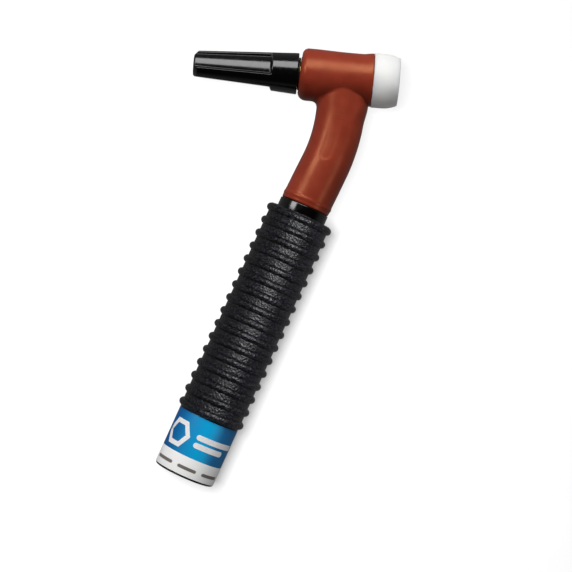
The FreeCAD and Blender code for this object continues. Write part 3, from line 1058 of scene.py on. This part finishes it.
def o_ring():
    """The seal ring under the cap."""
    start, end, radius = BARREL.span("cap_o_ring")
    outer_round = 0.99 * (end - start) / 2
    outline = rounded(
        (start, SEAL_BORE_R, 0.3),
        (start, radius, outer_round),
        (end, radius, outer_round),
        (end, SEAL_BORE_R, 0.3),
    )
    piece = revolved("o_ring", BARREL, outline, SEAL_RUBBER, steps=128)
    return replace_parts(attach(piece, "cap_seal"), "cap_o_ring")


def neck_tube():
    """The copper tube keeps its own shape and takes a better finish."""
    tube = frame["nodes"]["neck_tube"]
    for slot in tube.material_slots:
        slot.material = COPPER


# Room. Its distances are metres, apart from the camera's sensor.

VIEW_CENTRE = Vector((0.0357, -0.0095))
VIEW_DISTANCE = 0.818
VIEW_WIDTH = 0.2688
VIEW_TURN = math.radians(24.3)
SENSOR = 36.0
SURROUND_LOW = 0.18
SURROUND_HIGH = 0.01
FLOOR_HALF = 3.0
PICTURE_RIGHT = Vector((math.cos(VIEW_TURN), math.sin(VIEW_TURN), 0))
PICTURE_UP = Vector((-math.sin(VIEW_TURN), math.cos(VIEW_TURN), 0))


def camera():
    """Looks straight down on the torch, turned so that the handle leans to the right."""
    data = bpy.data.cameras.new("camera")
    data.sensor_width = SENSOR
    data.lens = SENSOR * VIEW_DISTANCE / VIEW_WIDTH
    view = bpy.data.objects.new("camera", data)
    view.location = (VIEW_CENTRE.x, VIEW_CENTRE.y, HANDLE.origin.z + VIEW_DISTANCE)
    view.rotation_euler = (0, 0, VIEW_TURN)
    bpy.context.scene.collection.objects.link(view)
    bpy.context.scene.camera = view


def softbox(name, place, size, radiance, only=(), spared=(), shading=()):
    """A rectangular soft light that faces the torch.

    Its place is the angle round the picture from its right, the lean from overhead, both in
    degrees, and the distance. Its radiance is 1 for white. It lights only some pieces, or all but
    the spared ones. If shading pieces are given, no others cast a shadow in it.
    """
    azimuth, lean, distance = place
    round_angle = math.radians(azimuth)
    lean_angle = math.radians(lean)
    sideways = PICTURE_RIGHT * math.cos(round_angle) + PICTURE_UP * math.sin(round_angle)
    toward = sideways * math.sin(lean_angle) + UP * math.cos(lean_angle)
    data = bpy.data.lights.new(name, "AREA")
    data.shape = "RECTANGLE"
    data.size, data.size_y = size
    data.energy = radiance * math.pi * data.size * data.size_y
    light = bpy.data.objects.new(name, data)
    light.location = Vector((*VIEW_CENTRE, HANDLE.origin.z)) + toward * distance
    light.rotation_euler = toward.to_track_quat("Z", "Y").to_euler()
    bpy.context.scene.collection.objects.link(light)
    if only or spared:
        flagged = bpy.data.collections.new(name)
        for piece in (*only, *spared):
            flagged.objects.link(piece)
        for link in flagged.collection_objects:
            link.light_linking.link_state = "INCLUDE" if only else "EXCLUDE"
        light.light_linking.receiver_collection = flagged
    if shading:
        blockers = bpy.data.collections.new(name + "_shading")
        for piece in shading:
            blockers.objects.link(piece)
        light.light_linking.blocker_collection = blockers


def dark_surround():
    """A studio that is dark overhead and dim near the floor, with a white backdrop."""
    world = bpy.data.worlds.new("studio")
    world.use_nodes = True
    tree = world.node_tree
    place = tree.nodes.new("ShaderNodeTexCoord")
    split = tree.nodes.new("ShaderNodeSeparateXYZ")
    tree.links.new(place.outputs["Generated"], split.inputs["Vector"])
    dim = tree.nodes["Background"]
    grey = ramp(tree, split.outputs["Z"], (0.0, SURROUND_LOW), (0.45, SURROUND_HIGH))
    tree.links.new(grey, dim.inputs["Color"])
    white = tree.nodes.new("ShaderNodeBackground")
    white.inputs["Color"].default_value = (1, 1, 1, 1)
    ray = tree.nodes.new("ShaderNodeLightPath")
    mix = tree.nodes.new("ShaderNodeMixShader")
    tree.links.new(ray.outputs["Is Camera Ray"], mix.inputs["Fac"])
    tree.links.new(dim.outputs["Background"], mix.inputs[1])
    tree.links.new(white.outputs["Background"], mix.inputs[2])
    tree.links.new(mix.outputs["Shader"], tree.nodes["World Output"].inputs["Surface"])
    bpy.context.scene.world = world


def room(grip_piece, jacket_piece, gasket_piece, label_pieces):
    """A plain pale floor, and soft lights that each reach only some of the pieces."""
    floor_mesh = bpy.data.meshes.new("floor")
    corners = [(x * FLOOR_HALF, y * FLOOR_HALF, 0) for x, y in ((-1, -1), (1, -1), (1, 1), (-1, 1))]
    floor_mesh.from_pydata(corners, [], [(0, 1, 2, 3)])
    floor_mesh.materials.append(floor_paper())
    floor = bpy.data.objects.new("floor", floor_mesh)
    floor.visible_diffuse = False
    floor.visible_glossy = False
    bpy.context.scene.collection.objects.link(floor)
    handle_pieces = [grip_piece, *label_pieces]
    left_spared = [grip_piece, jacket_piece, floor]
    softbox("key_light", (87, 48, 0.9), (0.79, 0.55), 6.9, spared=[grip_piece, floor])
    softbox("left_light", (146, 51, 0.9), (0.2, 0.38), 9.4, spared=left_spared)
    softbox("jacket_light", (140, 51, 0.9), (0.2, 0.38), 11.0, only=[jacket_piece])
    softbox("right_light", (-24.3, 52, 0.9), (0.5, 0.2), 4.1, only=[jacket_piece, *label_pieces])
    softbox("grip_light", (31.7, 22, 0.63), (0.3, 0.3), 13.0, only=[grip_piece])
    softbox("grip_fill", (155.7, 40, 0.9), (0.5, 0.5), 0.8, only=[grip_piece])
    softbox("gasket_light", (267, 38, 0.9), (0.5, 0.4), 2.8, only=[gasket_piece])
    softbox("floor_light", (155.7, 10, 0.9), (0.3, 0.3), 70, only=[floor], shading=handle_pieces)
    softbox("floor_fill", (155.7, 10, 0.9), (0.3, 0.3), 36, only=[floor])
    dark_surround()
    bpy.context.scene.view_settings.view_transform = "Standard"


camera()
room(grip(), jacket(), gasket(), label())
handle_tube()
nose_ring()
block()
stud()
cap()
insert()
o_ring()
neck_tube()
